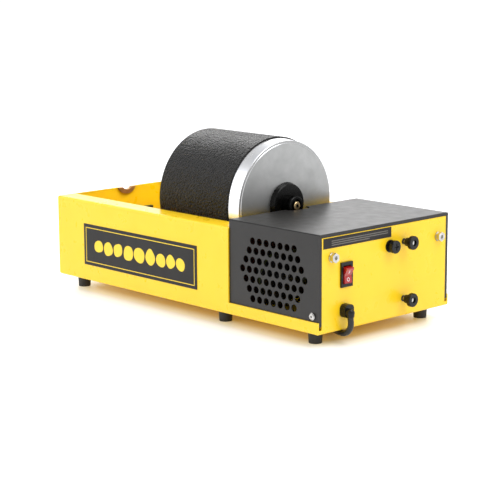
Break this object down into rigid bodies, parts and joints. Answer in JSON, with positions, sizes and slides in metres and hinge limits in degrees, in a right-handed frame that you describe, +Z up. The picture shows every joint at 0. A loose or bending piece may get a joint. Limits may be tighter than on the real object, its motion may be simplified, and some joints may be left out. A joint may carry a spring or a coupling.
{
  "type": "rotary rock tumbler",
  "caption": "Rotary rock tumbler: a yellow folded-steel tray with a vented black motor box, powered rollers and a round rubber barrel with a metal lid.",
  "frame": {"origin": "on the bench, under the centre of the machine's bounding box (without the cord)", "axes": "+X along the machine towards the end panel with the switch, +Y to the back, +Z up"},
  "size_m": [0.4162, 0.2921, 0.1792],
  "materials": {
    "yellow_coat": "satin powder coat",
    "black_coat": "fine-textured charcoal powder coat",
    "zinc_steel": "zinc-plated steel",
    "plate": "printed aluminium sheet, charcoal with a yellow border",
    "label": "printed film",
    "bronze": "sintered bronze",
    "black_rubber": "matt",
    "barrel_rubber": "pebble-grained",
    "belt_rubber": "smooth",
    "bright_steel": "ground",
    "turned_aluminium": "turned face, bright edge",
    "knob_plastic": "moulded",
    "pulley_plastic": "moulded",
    "laminations": "stacked steel sheets",
    "coil_tape": "taped copper winding",
    "fan_plastic": "moulded",
    "red_plastic": "translucent red",
    "fuse_glass": "glass tube with metal ends",
    "wire": "insulated wire",
    "cord_plastic": "PVC jacket",
    "tie_plastic": "coated wire tie",
    "plated_brass": "nickel-plated"
  },
  "bodies": {
    "machine": {"base_pan": "yellow_coat", "bulkhead": "yellow_coat", "cover": "black_coat", "cover_lugs": "zinc_steel", "cover_end_screws": "zinc_steel", "cover_side_screws": "zinc_steel", "foot_screws": "zinc_steel", "motor_bracket_front": "zinc_steel", "motor_bracket_rear": "zinc_steel", "motor_bolts": "zinc_steel", "nameplate": "plate", "end_label": "label", "notch_liner": "bronze", "drive_bush_left": "bronze", "drive_bush_right": "bronze", "idler_bush_left": "bronze", "idler_bush_right": "bronze", "barrel_bumper": "black_rubber", "foot_front_left": "black_rubber", "foot_front_middle": "black_rubber", "foot_front_right": "black_rubber", "foot_back_left": "black_rubber", "foot_back_middle": "black_rubber", "foot_back_right": "black_rubber", "motor_isolators": "black_rubber", "drive_belt": "belt_rubber", "fuse_holder": "knob_plastic", "strain_relief": "knob_plastic", "switch_housing": "knob_plastic", "stator_core": "laminations", "stator_coil": "coil_tape", "wiring": "wire", "cord_lead": "cord_plastic", "cord_coil": "cord_plastic", "cord_tail": "cord_plastic", "plug": "cord_plastic", "cord_tie": "tie_plastic", "plug_pins": "plated_brass"},
    "barrel": {"barrel_shell": "barrel_rubber", "inner_lid": "bright_steel", "lid_gasket": "black_rubber", "outer_lid": "turned_aluminium", "lid_stud": "bright_steel"},
    "lid_knob": {"lid_knob": "knob_plastic"},
    "drive_roller": {"drive_shaft": "bright_steel", "drive_sleeve": "black_rubber", "drive_collars": "bright_steel", "drive_pulley": "pulley_plastic"},
    "idler_roller": {"idler_shaft": "bright_steel", "idler_sleeve": "black_rubber", "idler_collars": "bright_steel"},
    "motor_rotor": {"rotor": "laminations", "motor_shaft": "bright_steel", "fan": "fan_plastic", "motor_pulley": "pulley_plastic"},
    "rocker": {"switch_rocker": "red_plastic"},
    "nut_upper": {"thumb_nut_upper": "knob_plastic"},
    "nut_lower": {"thumb_nut_lower": "knob_plastic"},
    "fuse_cap": {"fuse_cap": "knob_plastic", "fuse": "fuse_glass"}
  },
  "joints": [
    {"name": "barrel_spin", "type": "hinge", "parent": "machine", "child": "barrel", "pos_m": [0, 0, 0.1112], "axis": [1, 0, 0], "continuous": true},
    {"name": "drive_spin", "type": "hinge", "parent": "machine", "child": "drive_roller", "pos_m": [0, -0.0405, 0.04477], "axis": [1, 0, 0], "continuous": true},
    {"name": "idler_spin", "type": "hinge", "parent": "machine", "child": "idler_roller", "pos_m": [0, 0.0405, 0.04477], "axis": [1, 0, 0], "continuous": true},
    {"name": "motor_spin", "type": "hinge", "parent": "machine", "child": "motor_rotor", "pos_m": [0.15, 0.0258, 0.05915], "axis": [1, 0, 0], "continuous": true},
    {"name": "knob_turn", "type": "hinge", "parent": "barrel", "child": "lid_knob", "pos_m": [0.06, 0, 0.1112], "axis": [1, 0, 0], "range_deg": [0, 720]},
    {"name": "rocker_tilt", "type": "hinge", "parent": "machine", "child": "rocker", "pos_m": [0.1925, -0.0561, 0.0669], "axis": [0, -1, 0], "range_deg": [0, 20]},
    {"name": "nut_upper_turn", "type": "hinge", "parent": "machine", "child": "nut_upper", "pos_m": [0.202, 0.0258, 0.0876], "axis": [1, 0, 0], "range_deg": [0, 720]},
    {"name": "nut_lower_turn", "type": "hinge", "parent": "machine", "child": "nut_lower", "pos_m": [0.202, 0.0258, 0.0307], "axis": [1, 0, 0], "range_deg": [0, 720]},
    {"name": "fuse_cap_turn", "type": "hinge", "parent": "machine", "child": "fuse_cap", "pos_m": [0.194, 0.0055, 0.0856], "axis": [1, 0, 0], "range_deg": [0, 60]}
  ],
  "couplings": [
    {"joint": "drive_spin", "follows": "barrel_spin", "ratio": -7.1579},
    {"joint": "idler_spin", "follows": "barrel_spin", "ratio": -7.1579},
    {"joint": "motor_spin", "follows": "barrel_spin", "ratio": -23.925}
  ]
}
